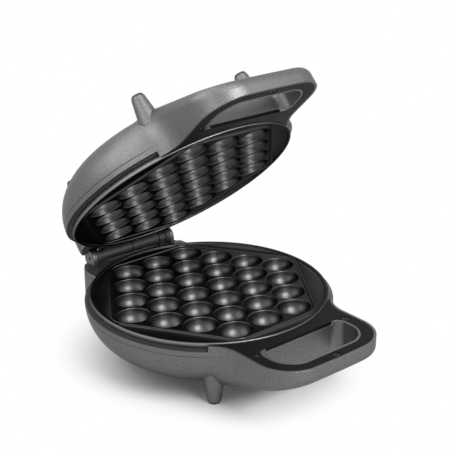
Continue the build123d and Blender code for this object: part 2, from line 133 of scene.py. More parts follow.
class Sock:
    """An output socket that Python's operators work on by adding Math nodes."""

    def __init__(self, tree: "Tree", socket: bpy.types.NodeSocket | None) -> None:
        """Wrap one socket of a tree."""
        self.tree = tree
        self.socket = socket

    def __add__(self, other: Value) -> "Sock":
        """Return self + other."""
        return self.tree.maths("ADD", self, other)

    __radd__ = __add__

    def __sub__(self, other: Value) -> "Sock":
        """Return self - other."""
        return self.tree.maths("SUBTRACT", self, other)

    def __rsub__(self, other: Value) -> "Sock":
        """Return other - self."""
        return self.tree.maths("SUBTRACT", other, self)

    def __mul__(self, other: Value) -> "Sock":
        """Return self * other."""
        return self.tree.maths("MULTIPLY", self, other)

    __rmul__ = __mul__

    def __truediv__(self, other: Value) -> "Sock":
        """Return self / other."""
        return self.tree.maths("DIVIDE", self, other)

    def __gt__(self, other: Value) -> "Sock":
        """Return 1 where self is more than other, else 0."""
        return self.tree.maths("GREATER_THAN", self, other)


class Tree:
    """A node tree of a material or of Geometry Nodes, built one node at a time."""

    def __init__(self, tree: bpy.types.NodeTree) -> None:
        """Start on an empty tree."""
        self.tree = tree
        self.tree.nodes.clear()

    def node(self, kind: str, settings: dict[str, Any] | None = None,
             inputs: dict[str | int, Any] | None = None, out: str | int = 0) -> Sock:
        """Add a node.

        Args:
            kind: Blender's name of the node type.
            settings: Properties of the node, set before its sockets.
            inputs: Values or sockets, by the input's name or number.
            out: The output to hand back, by name or number.

        Returns:
            The chosen output.
        """
        made = self.tree.nodes.new(kind)
        for name, value in (settings or {}).items():
            setattr(made, name, value)
        for name, value in (inputs or {}).items():
            self.feed(made.inputs[name], value)
        return Sock(self, made.outputs[out] if len(made.outputs) else None)

    def feed(self, target: bpy.types.NodeSocket, value: Any) -> None:
        """Link a socket to an input, or set the input's own value.

        Args:
            target: The input.
            value: A socket, a number, a vector, a colour or a data block.
        """
        if isinstance(value, Sock):
            self.tree.links.new(value.socket, target)
        elif isinstance(value, tuple) and target.type == "RGBA":
            target.default_value = rgba(value)
        else:
            target.default_value = value

    def maths(self, operation: str, first: Value, second: Value = 0.0) -> Sock:
        """Return a Math node's result."""
        return self.node("ShaderNodeMath", {"operation": operation}, {0: first, 1: second})

    def vector(self, operation: str, first: Value, second: Value = (0, 0, 0),
               out: str | int = 0) -> Sock:
        """Return a Vector Math node's result."""
        return self.node("ShaderNodeVectorMath", {"operation": operation},
                         {0: first, 1: second}, out)

    def part(self, vector: Sock, axis: str) -> Sock:
        """Return the X, Y or Z of a vector."""
        return self.node("ShaderNodeSeparateXYZ", None, {0: vector}, axis)


class Surface(Tree):
    """A material's tree with the textures that the finishes share."""

    def __init__(self, name: str) -> None:
        """Make the material.

        Args:
            name: The material's name.
        """
        self.material = bpy.data.materials.new(name)
        self.material.use_nodes = True
        super().__init__(self.material.node_tree)
        self.place = self.node("ShaderNodeTexCoord", out="Object")

    def noise(self, size: float, detail: float = 2.0, stretch: Place = (1, 1, 1)) -> Sock:
        """Return a noise value.

        Args:
            size: Size of one grain in metres.
            detail: Number of finer layers.
            stretch: Factors on the three axes, above 1 for a shorter grain.

        Returns:
            The noise, mostly inside NOISE_RANGE.
        """
        scaled = self.vector("MULTIPLY", self.place, tuple(part / size for part in stretch))
        return self.node("ShaderNodeTexNoise", None,
                         {"Vector": scaled, "Scale": 1.0, "Detail": detail, "Roughness": 0.6})

    def ramp(self, value: Value, low: float, high: float,
             start: float = 0.0, end: float = 1.0) -> Sock:
        """Return value mapped from low..high to start..end and held there."""
        return self.node("ShaderNodeMapRange", {"clamp": True},
                         {"Value": value, "From Min": low, "From Max": high,
                          "To Min": start, "To Max": end})

    def vary(self, value: Value, middle: float, spread: float) -> Sock:
        """Return a noise value mapped to a number that varies about its middle."""
        return self.ramp(value, *NOISE_RANGE, middle - spread, middle + spread)

    def blend(self, factor: Value, first: Value, second: Value) -> Sock:
        """Return the mix of two colours."""
        return self.node("ShaderNodeMix", {"data_type": "RGBA"},
                         {0: factor, 6: first, 7: second}, out=2)

    def bump(self, height: Sock, depth: float, normal: Sock) -> Sock:
        """Return a normal bumped by a height of 0 to 1 over a depth in metres."""
        return self.node("ShaderNodeBump", None,
                         {"Height": height, "Distance": depth, "Strength": 1.0, "Normal": normal})

    def soft_edges(self, radius: float) -> Sock:
        """Return the normal with edges rounded to a radius in metres."""
        return self.node("ShaderNodeBevel", {"samples": 6}, {"Radius": radius})

    def finish(self, inputs: dict[str, Any]) -> bpy.types.Material:
        """End the tree in one Principled surface.

        Args:
            inputs: Values or sockets for the surface, by name.

        Returns:
            The material.
        """
        shader = self.node("ShaderNodeBsdfPrincipled", None, inputs)
        self.node("ShaderNodeOutputMaterial", None, {"Surface": shader})
        return self.material


class Grower(Tree):
    """A Geometry Nodes tree with named inputs, whose result is baked to a plain mesh."""

    def __init__(self, name: str, piece: Any, *sizes: str) -> None:
        """Make the tree with one number input for each size.

        Args:
            name: The tree's name.
            piece: The piece that holds the sizes.
            sizes: The names of the sizes, which become the inputs' names.
        """
        self.group = bpy.data.node_groups.new(name, "GeometryNodeTree")
        super().__init__(self.group)
        face = self.group.interface
        face.new_socket("Geometry", in_out="INPUT", socket_type="NodeSocketGeometry")
        face.new_socket("Geometry", in_out="OUTPUT", socket_type="NodeSocketGeometry")
        self.values = {size: float(getattr(piece, size)) for size in sizes}
        self.sockets = {size: face.new_socket(size, in_out="INPUT", socket_type="NodeSocketFloat")
                        for size in sizes}
        self.entry = self.tree.nodes.new("NodeGroupInput")

    def given(self, label: str) -> Sock:
        """Return an input of the tree by its name."""
        return Sock(self, self.entry.outputs[label])

    def point(self, x: Value, y: Value, z: Value = 0.0) -> Sock:
        """Return a vector."""
        return self.node("ShaderNodeCombineXYZ", None, {"X": x, "Y": y, "Z": z})

    def unit_grid(self, steps: int, segments: int) -> tuple[Sock, Sock, Sock]:
        """Make a grid that can be wrapped round the Z axis.

        Args:
            steps: Number of faces along the profile.
            segments: Number of faces around.

        Returns:
            The grid, the way along the profile from 0 to 1, and the angle around.
        """
        grid = self.node("GeometryNodeMeshGrid", None,
                         {"Size X": 1.0, "Size Y": 1.0,
                          "Vertices X": steps + 1, "Vertices Y": segments + 1})
        here = self.node("GeometryNodeInputPosition")
        return grid, self.part(here, "X") + 0.5, (self.part(here, "Y") + 0.5) * math.tau

    def wrapped(self, grid: Sock, around: Sock, x: Sock, y: Sock, level: Sock) -> Sock:
        """Return a grid wrapped round the Z axis, with its reach along X and Y and its level."""
        place = self.point(x * self.maths("COSINE", around), y * self.maths("SINE", around), level)
        return self.node("GeometryNodeSetPosition", None, {"Geometry": grid, "Position": place})

    def raised(self, geometry: Sock, level: Value) -> Sock:
        """Return a geometry moved up by a level."""
        return self.node("GeometryNodeTransform", None,
                         {"Geometry": geometry, "Translation": self.point(0.0, 0.0, level)})

    def both(self, *parts: Sock) -> Sock:
        """Join geometries.

        Args:
            parts: The geometries, in the order that they keep.

        Returns:
            The joined geometry.
        """
        join = self.tree.nodes.new("GeometryNodeJoinGeometry")
        for part in reversed(parts):
            self.tree.links.new(part.socket, join.inputs[0])
        return Sock(self, join.outputs[0])

    def end(self, geometry: Sock, material: bpy.types.Material, weld: float) -> None:
        """Realize the instances, weld them and end the tree.

        Args:
            geometry: What the tree has made.
            material: The material to set.
            weld: The distance within which points are joined.
        """
        real = self.node("GeometryNodeRealizeInstances", None, {"Geometry": geometry})
        whole = self.node("GeometryNodeMergeByDistance", None,
                          {"Geometry": real, "Distance": weld})
        done = self.node("GeometryNodeSetMaterial", None,
                         {"Geometry": whole, "Material": material})
        self.node("NodeGroupOutput", None, {"Geometry": done})

    def grow(self, start: bpy.types.Mesh) -> bpy.types.Mesh:
        """Run the tree on a start mesh.

        Args:
            start: The mesh that the tree gets as its geometry.

        Returns:
            The result as a plain mesh.
        """
        carrier = add_object(self.group.name, start)
        modifier = carrier.modifiers.new("grow", "NODES")
        modifier.node_group = self.group
        for size, value in self.values.items():
            modifier[self.sockets[size].identifier] = value
        bpy.context.view_layer.update()
        ready = carrier.evaluated_get(bpy.context.evaluated_depsgraph_get())
        grown = bpy.data.meshes.new_from_object(ready)
        carrier.modifiers.clear()
        bpy.data.objects.remove(carrier)
        return grown


@dataclass(frozen=True)
class Finish:
    """A finish by name, with the colour and gloss that all finishes have."""

    name: str
    colour: Colour
    roughness: float
    metallic: float = 0.0
    coat: float = 0.0
    edge: float = 0.0004

    def material(self) -> bpy.types.Material:
        """Build the material."""
        raise NotImplementedError


@dataclass(frozen=True)
class MetallicLacquer(Finish):
    """Satin grey lacquer with fine metal flakes under a thin clear coat.

    It also draws the fine groove beside the rim of each shell's round body, as a bump and as
    painted shade that darkens its colour: groove_level is the groove's distance from the parting
    plane, and groove_end is where it stops, measured from the hinge line towards the handle.
    """

    coat_roughness: float = 0.25
    glancing_tint: Colour = grey(185)
    flake: float = 0.0009
    flake_gain: float = 0.3
    flake_depth: float = 0.000012
    flake_reach: float = 0.4
    cloud: float = 0.03
    cloud_gain: float = 0.03
    cloud_roughness: float = 0.02
    groove_level: float = 0.0102
    groove_half: float = 0.0005
    groove_core: float = 0.4
    groove_end: float = -0.193
    groove_fade: float = 0.02
    groove_depth: float = 0.0003
    # Painted shade in the groove: how far its colour is darkened, and towards which dark grey.
    groove_shade_strength: float = 0.6
    groove_shade_tone: Colour = grey(20)

    def groove(self, make: Surface) -> Sock:
        """Draw the groove on both shells, as the mask for its bump and for its painted shade.

        The lower shell's rim is level, and the lid's is turned about the hinge line.

        Args:
            make: The tree to draw it in.

        Returns:
            1 in the groove and 0 outside it, with a soft edge.
        """
        from_hinge = make.vector("SUBTRACT", make.place, tuple(HINGE))
        line = 0.0
        for side, opened in ((-1.0, 0.0), (1.0, math.radians(LID_OPENED))):
            up = (0.0, side * math.sin(opened), side * math.cos(opened))
            back = (0.0, math.cos(opened), -math.sin(opened))
            level = make.vector("DOT_PRODUCT", from_hinge, up, "Value")
            behind = make.vector("DOT_PRODUCT", from_hinge, back, "Value")
            away = make.maths("ABSOLUTE", level - self.groove_level)
            across = make.ramp(away, self.groove_half * self.groove_core, self.groove_half,
                               1.0, 0.0)
            line = line + across * make.ramp(behind, self.groove_end,
                                             self.groove_end + self.groove_fade)
        return line

    def material(self) -> bpy.types.Material:
        """Build the material.

        Returns:
            The lacquer with its flakes, faint clouds and groove.
        """
        make = Surface(self.name)
        flakes = make.noise(self.flake, 1.0)
        clouds = make.noise(self.cloud, 3.0)
        light = make.vary(flakes, 1, self.flake_gain) * make.vary(clouds, 1, self.cloud_gain)
        # The light is 1 on average, which has to be the middle of the mix.
        tone = make.blend(light - 0.5, shade(self.colour, 1 - self.flake_reach),
                          shade(self.colour, 1 + self.flake_reach))
        groove = self.groove(make)
        # Painted shade: the groove's colour is darkened, as shade falls in it.
        tone = make.blend(groove * self.groove_shade_strength, tone, self.groove_shade_tone)
        normal = make.bump(flakes, self.flake_depth, make.soft_edges(self.edge))
        normal = make.bump(1 - groove, self.groove_depth, normal)
        return make.finish({"Base Color": tone, "Metallic": self.metallic, "Normal": normal,
                            "Roughness": make.vary(clouds, self.roughness, self.cloud_roughness),
                            "Coat Weight": self.coat, "Coat Roughness": self.coat_roughness,
                            "Specular Tint": self.glancing_tint})


@dataclass(frozen=True)
class NonstickCoating(Finish):
    """Charcoal non-stick coating, with a fine fleck and a soft sheen."""

    glancing_tint: Colour = grey(150)
    fleck: float = 0.0009
    fleck_range: tuple[float, float] = (0.62, 0.74)
    fleck_strength: float = 0.35
    fleck_gain: float = 1.8
    fleck_depth: float = 0.00001
    cloud: float = 0.02
    cloud_roughness: float = 0.03

    def material(self) -> bpy.types.Material:
        """Build the material.

        Returns:
            The coating with pale flecks.
        """
        make = Surface(self.name)
        fine = make.noise(self.fleck)
        clouds = make.noise(self.cloud, 3.0)
        light = make.ramp(fine, *self.fleck_range, 0.0, self.fleck_strength)
        tone = make.blend(light, self.colour, shade(self.colour, self.fleck_gain))
        normal = make.bump(fine, self.fleck_depth, make.soft_edges(self.edge))
        return make.finish({"Base Color": tone, "Metallic": self.metallic, "Normal": normal,
                            "Roughness": make.vary(clouds, self.roughness, self.cloud_roughness),
                            "Coat Weight": self.coat, "Specular Tint": self.glancing_tint})


@dataclass(frozen=True)
class MouldedPlastic(Finish):
    """Moulded plastic with a spark-eroded grain."""

    shine: float = 0.5
    grain: float = 0.0007
    grain_range: tuple[float, float] = (0.35, 0.65)
    grain_shade: float = 0.75
    grain_depth: float = 0.00003
    cloud: float = 0.015
    cloud_roughness: float = 0.04

    def material(self) -> bpy.types.Material:
        """Build the material.

        Returns:
            The plastic with darker pits.
        """
        make = Surface(self.name)
        fine = make.noise(self.grain)
        clouds = make.noise(self.cloud, 3.0)
        tone = make.blend(make.ramp(fine, *self.grain_range),
                          shade(self.colour, self.grain_shade), self.colour)
        normal = make.bump(fine, self.grain_depth, make.soft_edges(self.edge))
        return make.finish({"Base Color": tone, "Normal": normal,
                            "Roughness": make.vary(clouds, self.roughness, self.cloud_roughness),
                            "Coat Weight": self.coat, "Specular IOR Level": self.shine})


@dataclass(frozen=True)
class DrawnMetal(Finish):
    """Bare or plated metal with fine drawing marks along one axis."""

    mark: float = 0.004
    mark_stretch: Place = (1.0, 14.0, 14.0)
    mark_roughness: float = 0.08
    mark_depth: float = 0.00001
    tarnish: float = 0.68
    tarnish_size: float = 0.012
    tarnish_range: tuple[float, float] = (0.35, 0.7)

    def material(self) -> bpy.types.Material:
        """Build the material.

        Returns:
            The metal with its marks and duller patches.
        """
        make = Surface(self.name)
        marks = make.noise(self.mark, 3.0, self.mark_stretch)
        clouds = make.noise(self.tarnish_size, 3.0)
        tone = make.blend(make.ramp(clouds, *self.tarnish_range), self.colour,
                          shade(self.colour, self.tarnish))
        normal = make.bump(marks, self.mark_depth, make.soft_edges(self.edge))
        return make.finish({"Base Color": tone, "Metallic": self.metallic, "Normal": normal,
                            "Roughness": make.vary(marks, self.roughness, self.mark_roughness)})


@dataclass(frozen=True)
class SoftRubber(Finish):
    """Matt rubber or silicone with a little bloom."""

    bloom: Colour = (0.05, 0.05, 0.05)
    bloom_size: float = 0.005
    bloom_range: tuple[float, float] = (0.45, 0.75)
    bloom_strength: float = 0.5
    grain: float = 0.0006
    grain_roughness: float = 0.06
    grain_depth: float = 0.00002

    def material(self) -> bpy.types.Material:
        """Build the material.

        Returns:
            The rubber with pale patches.
        """
        make = Surface(self.name)
        clouds = make.noise(self.bloom_size, 4.0)
        fine = make.noise(self.grain)
        tone = make.blend(make.ramp(clouds, *self.bloom_range, 0.0, self.bloom_strength),
                          self.colour, self.bloom)
        normal = make.bump(fine, self.grain_depth, make.soft_edges(self.edge))
        return make.finish({"Base Color": tone, "Normal": normal,
                            "Roughness": make.vary(fine, self.roughness, self.grain_roughness)})


@dataclass(frozen=True)
class LampLens(Finish):
    """Tinted clear plastic with a pale core, as an unlit lamp looks."""

    cloud: float = 0.002
    cloud_shade: float = 0.6
    cloud_roughness: float = 0.05
    clearness: float = 0.25

    def material(self) -> bpy.types.Material:
        """Build the material.

        Returns:
            The tinted plastic.
        """
        make = Surface(self.name)
        clouds = make.noise(self.cloud)
        tone = make.blend(make.ramp(clouds, *NOISE_RANGE), self.colour,
                          shade(self.colour, self.cloud_shade))
        rough = make.ramp(clouds, *NOISE_RANGE, self.roughness,
                          self.roughness + self.cloud_roughness)
        return make.finish({"Base Color": tone, "Roughness": rough, "Coat Weight": self.coat,
                            "Transmission Weight": self.clearness,
                            "Normal": make.soft_edges(self.edge)})


class Slot(Enum):
    """The finish of each material slot in the record, and the painted-lighter coating of the
    castings' outer wall.
    """

    GREY_SHELL = MetallicLacquer("grey_shell", grey(105), 0.42, 0.85, 0.1, 0.0005)
    BLACK_TRIM = MouldedPlastic("black_trim", grey(50), 0.45, edge=0.0003, shine=0.45)
    # The same coating painted lighter, as painted light on the upright outer wall, which catches
    # more light.
    PAINTED_LIGHT_EDGE = NonstickCoating("nonstick_edge_painted_lighter", grey(128), 0.45, 1.0, 0.0, 0.0006)
    NONSTICK_CASTING = NonstickCoating("nonstick_casting", grey(71), 0.34, 1.0, 0.0, 0.0006)
    BLACK_COVER = MouldedPlastic("black_cover", grey(7), 0.55, shine=0.08)
    DARK_STEEL = DrawnMetal("dark_steel", grey(60), 0.35, 0.9)
    ELEMENT_STEEL = DrawnMetal("element_steel", grey(120), 0.4, 1.0)
    BARE_ALUMINIUM = DrawnMetal("bare_aluminium", grey(205), 0.3, 1.0)
    ZINC_STEEL = DrawnMetal("zinc_steel", grey(120), 0.42, 1.0)
    BLACK_RUBBER = SoftRubber("black_rubber", grey(26), 0.7)
    FUSE_METAL = DrawnMetal("fuse_metal", (0.62, 0.45, 0.25), 0.3, 1.0)
    WHITE_CERAMIC = MouldedPlastic("white_ceramic", (0.78, 0.76, 0.7), 0.3, coat=0.3)
    SILICONE_LEAD = SoftRubber("silicone_lead", (0.2, 0.045, 0.03), 0.6, bloom=(0.3, 0.09, 0.06))
    RED_LENS = LampLens("red_lens", (0.42, 0.02, 0.02), 0.15, coat=0.5)
    GREEN_LENS = LampLens("green_lens", (0.03, 0.3, 0.08), 0.15, coat=0.5)


NODE_SLOTS: dict[Slot, tuple[str, ...]] = {
    Slot.GREY_SHELL: ("lower_housing", "upper_housing", "lower_feet", "upper_feet"),
    Slot.BLACK_TRIM: ("lower_inner_ring", "upper_inner_ring", "lamp_holder"),
    Slot.NONSTICK_CASTING: ("lower_cooking_plate", "upper_cooking_plate"),
    Slot.BLACK_COVER: ("lower_handle_cover", "upper_handle_cover"),
    Slot.DARK_STEEL: ("lower_cover_screws", "upper_cover_screws"),
    Slot.ELEMENT_STEEL: ("lower_heating_element", "upper_heating_element"),
    Slot.BARE_ALUMINIUM: ("lower_reflector", "upper_reflector"),
    Slot.ZINC_STEEL: ("lower_leg_screws", "upper_leg_screws", "hinge_pin"),
    Slot.BLACK_RUBBER: ("lower_foot_pads", "upper_foot_pads", "cord_gland"),
    Slot.FUSE_METAL: ("lower_thermal_fuse", "upper_thermal_fuse"),
    Slot.WHITE_CERAMIC: ("thermostat", "terminal_block"),
    Slot.SILICONE_LEAD: ("link_lead", "lower_leads"),
    Slot.RED_LENS: ("power_light_lens",),
    Slot.GREEN_LENS: ("ready_light_lens",),
}


class Finishes:
    """The materials in use, each made once."""

    def __init__(self) -> None:
        """Start with none made."""
        self.made: dict[Slot, bpy.types.Material] = {}

    def of(self, slot: Slot) -> bpy.types.Material:
        """Return the material of a slot.

        Args:
            slot: The slot.

        Returns:
            Its material, made at the first call.
        """
        if slot not in self.made:
            self.made[slot] = slot.value.material()
        return self.made[slot]

    def dress_frame(self) -> None:
        """Give every CAD node its finish."""
        for slot, nodes in NODE_SLOTS.items():
            for node in nodes:
                mesh = frame["nodes"][node].data
                mesh.materials.clear()
                mesh.materials.append(self.of(slot))
                LOG.info("dressed %s in %s", node, slot.value.name)


@dataclass(frozen=True)
class Lamp:
    """A rectangular soft light."""

    name: str
    place: Place
    size: tuple[float, float]
    power: float

    def hang(self, target: Place) -> None:
        """Put the light in the scene.

        Args:
            target: The place that it points at.
        """
        data = bpy.data.lights.new(self.name, "AREA")
        data.shape = "RECTANGLE"
        data.size, data.size_y = self.size
        data.energy = self.power
        aim(add_object(self.name, data), self.place, target)


@dataclass
class Studio:
    """The camera, floor, soft lights and white surroundings.

    The floor is dim round the object and turns to plain white from clear_from to clear_to, so
    that it keeps the photographed shadow.
    """

    eye: Place = (-0.5187, -0.6343, 0.4416)
    target: Place = (0.02399, 0.01273, 0.10098)
    lens: float = 89.655
    sensor: float = 36.0
    camera_reach: float = 50.0
    floor_size: float = 6.0
    floor_tone: Colour = (0.74, 0.74, 0.74)
    floor_roughness: float = 0.35
    floor_shine: float = 0.3
    floor_glow: float = 0.03
    clear_from: float = 0.066
    clear_to: float = 0.142
    sky_light: float = 0.02
    lamp_target: Place = (0.0, 0.0, 0.08)
    lamps: tuple[Lamp, ...] = (
        Lamp("key_light", (0.071, -1.02, 1.177), (0.8, 0.8), 25.0),
        Lamp("front_light", (-0.14, -1.4, 0.16), (0.8, 0.4), 7.0),
        Lamp("left_light", (-1.229, 0.0, 0.94), (0.9, 0.9), 4.0),
        Lamp("left_back_light", (-0.813, 0.813, 1.044), (0.9, 0.9), 6.4),
        Lamp("back_light", (0.0, 1.061, 1.141), (1.0, 0.8), 3.8),
        Lamp("right_light", (0.919, -0.919, 0.83), (0.7, 0.7), 0.8),
        Lamp("top_light", (0.0, -0.105, 1.576), (1.1, 1.1), 7.0),
    )

    def set_camera(self) -> None:
        """Make the camera at the photographed angle."""
        data = bpy.data.cameras.new("camera")
        data.lens = self.lens
        data.sensor_width = self.sensor
        data.clip_end = self.camera_reach
        camera = add_object("camera", data)
        aim(camera, self.eye, self.target)
        bpy.context.scene.camera = camera

    def set_lights(self) -> None:
        """Hang the lamps and set the world."""
        for lamp in self.lamps:
            lamp.hang(self.lamp_target)
        world = bpy.data.worlds.new("surroundings")
        bpy.context.scene.world = world
        world.use_nodes = True
        make = Tree(world.node_tree)
        seen = self._seen(make)
        strength = seen + (1 - seen) * self.sky_light
        sky = make.node("ShaderNodeBackground", None, {"Color": WHITE, "Strength": strength})
        make.node("ShaderNodeOutputWorld", None, {"Surface": sky})

    @staticmethod
    def _seen(make: Tree) -> Sock:
        """Return 1 for rays that show the surroundings, straight, mirrored or through glass."""
        rays = [make.node("ShaderNodeLightPath", out=f"Is {kind} Ray")
                for kind in ("Camera", "Glossy", "Transmission")]
        return make.node("ShaderNodeClamp", None, {"Value": rays[0] + rays[1] + rays[2]})

    def floor_material(self) -> bpy.types.Material:
        """Mix the floor's paint with a white glow.

        Returns:
            The material.
        """
        make = Surface("studio_floor")
        paint = make.node("ShaderNodeBsdfPrincipled", None,
                          {"Base Color": self.floor_tone, "Roughness": self.floor_roughness,
                           "Specular IOR Level": self.floor_shine})
        far = make.vector("LENGTH", make.place, out="Value")
        clear = make.node("ShaderNodeMapRange", {"interpolation_type": "SMOOTHSTEP"},
                          {"Value": far, "From Min": self.clear_from, "From Max": self.clear_to})
        bright = self.floor_glow + clear * (1.0 - self.floor_glow)
        glow = make.node("ShaderNodeEmission", None, {"Color": WHITE, "Strength": 1.0})
        both = make.node("ShaderNodeMixShader", None,
                         {0: self._seen(make) * bright, 1: paint, 2: glow})
        make.node("ShaderNodeOutputMaterial", None, {"Surface": both})
        return make.material

    def lay_floor(self) -> None:
        """Make the pale floor, which keeps the object's shadow."""
        half = self.floor_size / 2
        mesh = bpy.data.meshes.new("studio_floor")
        mesh.from_pydata([(-half, -half, 0), (half, -half, 0), (half, half, 0), (-half, half, 0)],
                         [], [(0, 1, 2, 3)])
        mesh.materials.append(self.floor_material())
        add_object("studio_floor", mesh)

    def build(self) -> None:
        """Set the whole studio."""
        bpy.context.scene.view_settings.view_transform = "Standard"
        self.set_camera()
        self.set_lights()
        self.lay_floor()


@dataclass(frozen=True)
class Half:
    """One half of the waffle maker, with the way from its own axes to the model's.

    A half's own axes have the parting plane at z = 0, the plate centred, the handle towards -Y
    and millimetres as the unit, as if it were the lower half.
    """

    prefix: str
    body: str
    opened: float
    hinge_y: float = 109.0

    @property
    def matrix(self) -> Matrix:
        """The matrix from the half's own axes to the model's.

        Returns:
            The matrix, which turns the lid over and then opens it about the hinge line.
        """
        turn = Matrix.Identity(4)
        if self.opened:
            arm = Matrix.Translation((0, self.hinge_y, 0))
            turn = arm @ Matrix.Rotation(math.radians(-self.opened), 4, "X") @ arm.inverted()
            turn = turn @ Matrix.Rotation(math.pi, 4, "Y")
        shift = Matrix.Translation(HINGE / MM - Vector((0, self.hinge_y, 0)))
        return Matrix.Scale(MM, 4) @ shift @ turn

    def place(self, node: str, mesh: bpy.types.Mesh, slot: Slot) -> None:
        """Put a finished mesh into the scene in place of a CAD node of this half.

        Args:
            node: The CAD node that it stands for, without the half's prefix.
            mesh: The mesh on the half's own axes.
            slot: The record's slot for its finish; not used.
        """
        mesh.transform(self.matrix)
        mesh.update()
        piece = add_object(f"{self.prefix}_{node}_dressed", mesh)
        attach(piece, self.body)
        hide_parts(f"{self.prefix}_{node}")
        LOG.info("placed %s: %d faces", piece.name, len(mesh.polygons))


HALVES = (Half("lower", "base", 0.0), Half("upper", "lid", LID_OPENED))


class Shape:
    """A mesh in the making, from closed loops of points."""

    def __init__(self, start: bpy.types.Mesh | None = None) -> None:
        """Start empty, or from a mesh.

        Args:
            start: The mesh to start from.
        """
        self.bm = bmesh.new()
        if start is not None:
            self.bm.from_mesh(start)

    def loop(self, points: Iterable[Vector]) -> Loop:
        """Add the points of a closed loop."""
        return [self.bm.verts.new(point) for point in points]

    def skin(self, loops: list[Loop]) -> None:
        """Join each loop to the next by a band of faces.

        Args:
            loops: Loops of equally many points.
        """
        for first, second in zip(loops, loops[1:]):
            for i, corner in enumerate(first):
                j = (i + 1) % len(first)
                self.bm.faces.new((corner, first[j], second[j], second[i]))

    def sheet(self, outer: Loop, inner: Loop) -> None:
        """Fill the level area between two loops.

        Args:
            outer: The loop round the area.
            inner: The loop round the hole in it.
        """
        verts = outer + inner
        split = len(outer)
        edges = [(i, (i + 1) % split) for i in range(split)]
        edges += [(split + i, split + (i + 1) % len(inner)) for i in range(len(inner))]
        flat = [vert.co.to_2d() for vert in verts]
        for face in delaunay_2d_cdt(flat, edges, [], 0, FILL_TOLERANCE)[2]:
            middle = sum((flat[i] for i in face), Vector((0, 0))) / len(face)
            if not self._inside(middle, flat[split:]):
                self.bm.faces.new([verts[i] for i in face])

    @staticmethod
    def _inside(place: Vector, outline: list[Vector]) -> bool:
        """Tell whether a place is inside an outline.

        Args:
            place: The place.
            outline: The corners of the outline, in order.

        Returns:
            True inside it.
        """
        hit = False
        for one, two in zip(outline, outline[1:] + outline[:1]):
            if (one.y > place.y) != (two.y > place.y):
                hit ^= place.x < one.x + (place.y - one.y) / (two.y - one.y) * (two.x - one.x)
        return hit

    def mesh(self, name: str, weld: float, *materials: bpy.types.Material) -> bpy.types.Mesh:
        """Weld the shape and turn its faces outwards.

        Args:
            name: The mesh's name.
            weld: The distance within which points are joined.
            materials: The mesh's materials.

        Returns:
            The mesh.
        """
        bmesh.ops.remove_doubles(self.bm, verts=self.bm.verts, dist=weld)
        bmesh.ops.recalc_face_normals(self.bm, faces=self.bm.faces)
        made = bpy.data.meshes.new(name)
        self.bm.to_mesh(made)
        self.bm.free()
        made.materials.clear()
        for material in materials:
            made.materials.append(material)
        return made


